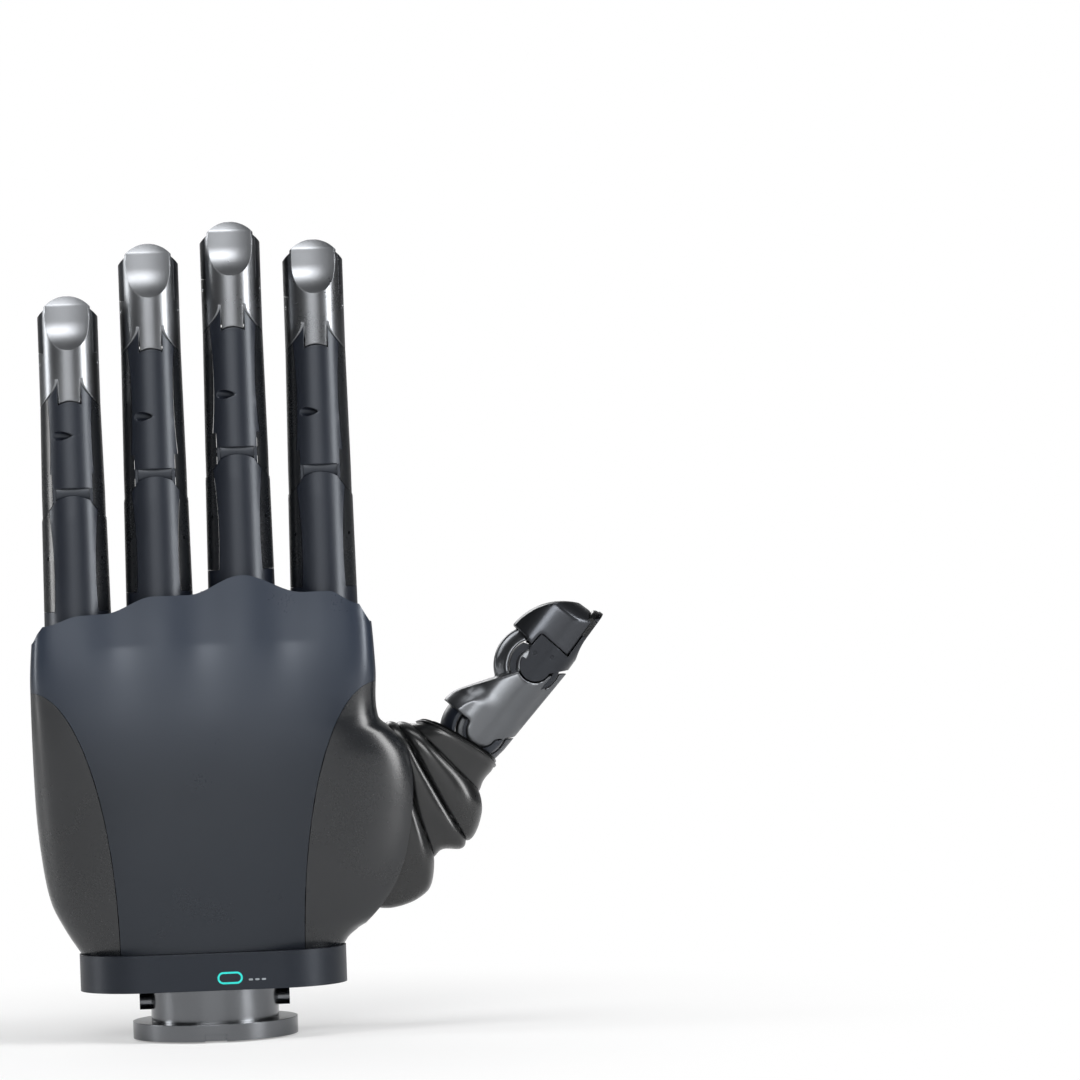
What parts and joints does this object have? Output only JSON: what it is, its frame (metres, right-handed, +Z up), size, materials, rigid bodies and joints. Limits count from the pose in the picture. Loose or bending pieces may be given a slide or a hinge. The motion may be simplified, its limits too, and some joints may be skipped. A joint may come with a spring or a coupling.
{
  "type": "dexterous robot hand, left",
  "caption": "Left-hand dexterous robot hand: jointed fingers and thumb with coupled hinges, moulded palm shells, folded rubber thumb boot and a round wrist flange with bayonet studs.",
  "frame": {"origin": "centre of the wrist flange's end face", "axes": "+Z runs up the hand along the fingers, +X points to the thumb's side, +Y points out of the palm, so the back of the hand faces -Y"},
  "size_m": [0.1525, 0.0434, 0.2143],
  "materials": {
    "dark_gunmetal": "satin dark metal",
    "blue_grey_shell": "satin blue-grey coat on machined aluminium",
    "grey_panel": "satin neutral grey moulded cover",
    "thumb_grey": "satin grey metallic coat",
    "boot_rubber": "semi-gloss charcoal elastomer",
    "frame_aluminium": "machined",
    "motor_steel": "brushed can",
    "board_green": "lacquered board",
    "pin_steel": "ground",
    "fingertip_metal": "polished gunmetal",
    "fingertip_pad": "semi-gloss grip pad",
    "black_trim": "gloss black rim"
  },
  "bodies": {
    "palm": {"wrist_flange": "dark_gunmetal", "bayonet_pins": "dark_gunmetal", "wrist_cuff": "blue_grey_shell", "palm_frame": "frame_aluminium", "dorsal_cover": "blue_grey_shell", "side_panel_left": "grey_panel", "side_panel_right": "grey_panel", "palm_cover": "grey_panel", "knuckle_pins": "pin_steel", "drive_motors": "motor_steel", "lead_screws": "pin_steel", "control_board": "board_green", "swing_shaft": "pin_steel", "thumb_boot": "boot_rubber"},
    "little_proximal": {"little_proximal_shell": "blue_grey_shell", "little_proximal_covers": "grey_panel", "little_middle_pin": "pin_steel"},
    "little_middle": {"little_middle_shell": "blue_grey_shell", "little_middle_covers": "grey_panel", "little_end_pin": "pin_steel"},
    "little_tip": {"little_tip_link": "fingertip_metal", "little_pulp_pad": "fingertip_pad", "little_tip_cap": "black_trim"},
    "ring_proximal": {"ring_proximal_shell": "blue_grey_shell", "ring_proximal_covers": "grey_panel", "ring_middle_pin": "pin_steel"},
    "ring_middle": {"ring_middle_shell": "blue_grey_shell", "ring_middle_covers": "grey_panel", "ring_end_pin": "pin_steel"},
    "ring_tip": {"ring_tip_link": "fingertip_metal", "ring_pulp_pad": "fingertip_pad", "ring_tip_cap": "black_trim"},
    "middle_proximal": {"middle_proximal_shell": "blue_grey_shell", "middle_proximal_covers": "grey_panel", "middle_middle_pin": "pin_steel"},
    "middle_middle": {"middle_middle_shell": "blue_grey_shell", "middle_middle_covers": "grey_panel", "middle_end_pin": "pin_steel"},
    "middle_tip": {"middle_tip_link": "fingertip_metal", "middle_pulp_pad": "fingertip_pad", "middle_tip_cap": "black_trim"},
    "index_proximal": {"index_proximal_shell": "blue_grey_shell", "index_proximal_covers": "grey_panel", "index_middle_pin": "pin_steel"},
    "index_middle": {"index_middle_shell": "blue_grey_shell", "index_middle_covers": "grey_panel", "index_end_pin": "pin_steel"},
    "index_tip": {"index_tip_link": "fingertip_metal", "index_pulp_pad": "fingertip_pad", "index_tip_cap": "black_trim"},
    "thumb_base": {"thumb_base": "blue_grey_shell", "thumb_root_pin": "pin_steel"},
    "thumb_proximal": {"thumb_proximal_shell": "thumb_grey", "thumb_end_pin": "pin_steel"},
    "thumb_tip": {"thumb_tip_link": "fingertip_metal", "thumb_pulp_pad": "fingertip_pad", "thumb_tip_cap": "black_trim"}
  },
  "joints": [
    {"name": "little_knuckle", "type": "hinge", "parent": "palm", "child": "little_proximal", "pos_m": [-0.03255, -0.002, 0.1014], "axis": [-1, 0, 0], "range_deg": [0, 80]},
    {"name": "little_middle_joint", "type": "hinge", "parent": "little_proximal", "child": "little_middle", "pos_m": [-0.03255, -0.002, 0.1444], "axis": [-1, 0, 0], "range_deg": [0, 84]},
    {"name": "little_end_joint", "type": "hinge", "parent": "little_middle", "child": "little_tip", "pos_m": [-0.03255, -0.002, 0.1742], "axis": [-1, 0, 0], "range_deg": [0, 52]},
    {"name": "ring_knuckle", "type": "hinge", "parent": "palm", "child": "ring_proximal", "pos_m": [-0.01085, -0.002, 0.1058], "axis": [-1, 0, 0], "range_deg": [0, 80]},
    {"name": "ring_middle_joint", "type": "hinge", "parent": "ring_proximal", "child": "ring_middle", "pos_m": [-0.01085, -0.002, 0.1488], "axis": [-1, 0, 0], "range_deg": [0, 84]},
    {"name": "ring_end_joint", "type": "hinge", "parent": "ring_middle", "child": "ring_tip", "pos_m": [-0.01085, -0.002, 0.1873], "axis": [-1, 0, 0], "range_deg": [0, 52]},
    {"name": "middle_knuckle", "type": "hinge", "parent": "palm", "child": "middle_proximal", "pos_m": [0.01085, -0.002, 0.1109], "axis": [-1, 0, 0], "range_deg": [0, 80]},
    {"name": "middle_middle_joint", "type": "hinge", "parent": "middle_proximal", "child": "middle_middle", "pos_m": [0.01085, -0.002, 0.1539], "axis": [-1, 0, 0], "range_deg": [0, 84]},
    {"name": "middle_end_joint", "type": "hinge", "parent": "middle_middle", "child": "middle_tip", "pos_m": [0.01085, -0.002, 0.1924], "axis": [-1, 0, 0], "range_deg": [0, 52]},
    {"name": "index_knuckle", "type": "hinge", "parent": "palm", "child": "index_proximal", "pos_m": [0.03255, -0.002, 0.1056], "axis": [-1, 0, 0], "range_deg": [0, 80]},
    {"name": "index_middle_joint", "type": "hinge", "parent": "index_proximal", "child": "index_middle", "pos_m": [0.03255, -0.002, 0.1486], "axis": [-1, 0, 0], "range_deg": [0, 84]},
    {"name": "index_end_joint", "type": "hinge", "parent": "index_middle", "child": "index_tip", "pos_m": [0.03255, -0.002, 0.1871], "axis": [-1, 0, 0], "range_deg": [0, 52]},
    {"name": "thumb_swing", "type": "hinge", "parent": "palm", "child": "thumb_base", "pos_m": [0.05, 0.005, 0.0776], "axis": [0.1736, 0, 0.9848], "range_deg": [0, 90], "deforming": ["thumb_boot"]},
    {"name": "thumb_root", "type": "hinge", "parent": "thumb_base", "child": "thumb_proximal", "pos_m": [0.073, 0.005, 0.0776], "axis": [0, -1, 0], "range_deg": [0, 50]},
    {"name": "thumb_end_joint", "type": "hinge", "parent": "thumb_proximal", "child": "thumb_tip", "pos_m": [0.08791, 0.005, 0.09445], "axis": [0, -1, 0], "range_deg": [0, 50]}
  ],
  "couplings": [
    {"joint": "little_middle_joint", "follows": "little_knuckle", "ratio": 1.05},
    {"joint": "little_end_joint", "follows": "little_knuckle", "ratio": 0.65},
    {"joint": "ring_middle_joint", "follows": "ring_knuckle", "ratio": 1.05},
    {"joint": "ring_end_joint", "follows": "ring_knuckle", "ratio": 0.65},
    {"joint": "middle_middle_joint", "follows": "middle_knuckle", "ratio": 1.05},
    {"joint": "middle_end_joint", "follows": "middle_knuckle", "ratio": 0.65},
    {"joint": "index_middle_joint", "follows": "index_knuckle", "ratio": 1.05},
    {"joint": "index_end_joint", "follows": "index_knuckle", "ratio": 0.65},
    {"joint": "thumb_end_joint", "follows": "thumb_root", "ratio": 1}
  ]
}
